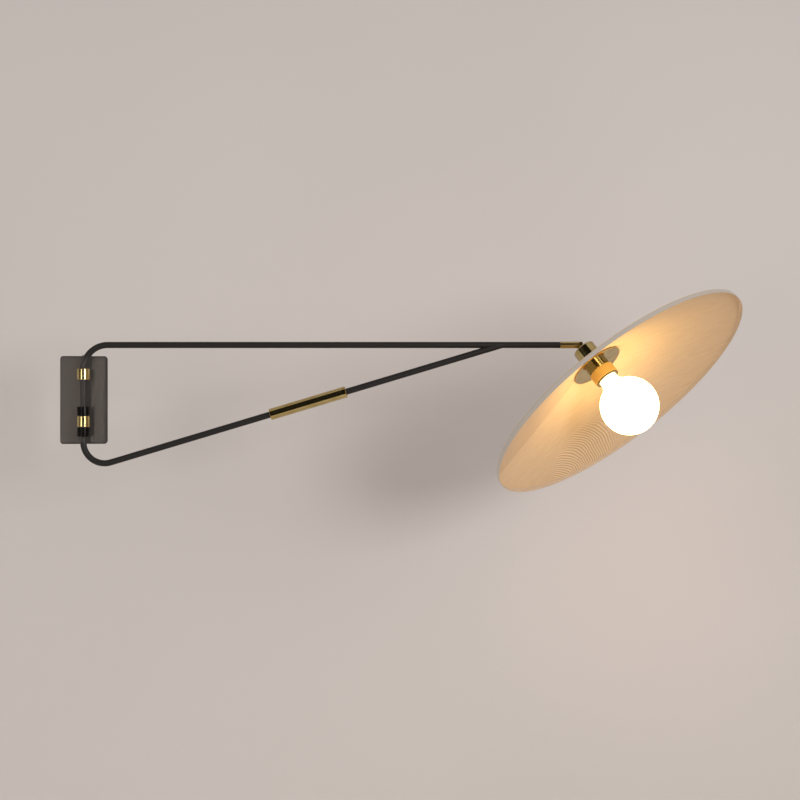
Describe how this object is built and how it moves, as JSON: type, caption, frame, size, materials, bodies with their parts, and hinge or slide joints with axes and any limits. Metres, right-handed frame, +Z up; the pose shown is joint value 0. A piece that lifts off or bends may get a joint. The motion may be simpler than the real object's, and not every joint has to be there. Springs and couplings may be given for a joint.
{
  "type": "pivoting wall lamp",
  "caption": "Wall lamp with a triangular tube arm that swings on a wall plate, a brass grip, and a wide shallow cone shade on a swivelling, tilting knuckle.",
  "frame": {"origin": "middle of the wall cover, on the plane of the wall", "axes": "+Y into the wall, so the lamp stands out towards -Y; +Z up; +X to the right as seen from the room"},
  "size_m": [1.0801, 0.4433, 0.3171],
  "materials": {
    "cover_paint": "matt dark grey-brown powder coat",
    "zinc_steel": "zinc-plated pressed steel",
    "fastener_steel": "bright plated steel screws and nuts",
    "arm_paint": "matt black powder coat on steel tube",
    "collar_black": "black satin turned steel",
    "brass": "polished lacquered brass",
    "nylon": "natural nylon",
    "black_nylon": "black nylon",
    "terminal_white": "moulded polyamide",
    "porcelain": "glazed porcelain",
    "phenolic": "brown moulded phenolic",
    "shade_card": "laminated card with an embossed wood grain, cream white",
    "shade_hoop": "pale grey powder coat on a rolled steel hoop",
    "contact_brass": "plain sprung brass",
    "opal_glass": "opal white glass, lit from inside",
    "cap_metal": "nickel-plated screw cap",
    "cap_glass": "black cap insulator"
  },
  "bodies": {
    "wall_mount": {"wall_cover": "cover_paint", "wall_bracket": "zinc_steel", "cover_screws": "fastener_steel", "terminal_block": "terminal_white", "terminal_screws": "fastener_steel", "earth_screw": "contact_brass", "post_washers": "fastener_steel", "post_nuts": "fastener_steel", "upper_bearing_eye": "brass", "lower_bearing_eye": "brass", "upper_eye_top_bush": "nylon", "upper_eye_bottom_bush": "nylon", "lower_eye_top_bush": "nylon", "lower_eye_bottom_bush": "nylon"},
    "arm": {"upper_stop_collar": "collar_black", "lower_stop_collar": "collar_black", "upper_thrust_washer": "black_nylon", "lower_thrust_washer": "black_nylon", "collar_screws": "fastener_steel", "frame_tube": "arm_paint", "brace_tube": "arm_paint", "brace_spigot": "zinc_steel", "grip_sleeve": "brass", "grip_rear_ring": "brass", "grip_front_ring": "brass", "grip_screw": "fastener_steel", "tip_insert": "contact_brass", "swivel_washer": "black_nylon"},
    "swivel": {"swivel_fitting": "brass", "swivel_screw": "fastener_steel", "knuckle_screw": "brass", "knuckle_washers": "fastener_steel"},
    "head": {"knuckle_tongue": "brass", "tongue_nut": "fastener_steel", "holder_cup": "brass", "lampholder_body": "porcelain", "holder_terminals": "fastener_steel", "holder_contact": "contact_brass", "screw_shell": "contact_brass", "lampholder_skirt": "porcelain", "skirt_lip": "phenolic", "shade_sheet": "shade_card", "rim_hoop": "shade_hoop", "shade_disc": "brass", "clamp_ring": "brass", "bulb_globe": "opal_glass", "bulb_cap": "cap_metal", "bulb_insulator": "cap_glass", "bulb_contact": "fastener_steel"}
  },
  "joints": [
    {"name": "arm_swing", "type": "hinge", "parent": "wall_mount", "child": "arm", "pos_m": [0, -0.046, 0], "axis": [0, 0, 1], "range_deg": [-170, 10]},
    {"name": "head_swivel", "type": "hinge", "parent": "arm", "child": "swivel", "pos_m": [0.78341, -0.18414, 0.088], "axis": [0.9848, -0.1736, 0], "range_deg": [-138, 192]},
    {"name": "head_tilt", "type": "hinge", "parent": "swivel", "child": "head", "pos_m": [0.78341, -0.18414, 0.088], "axis": [0.1547, 0.8775, -0.454], "range_deg": [-57, 38]}
  ]
}
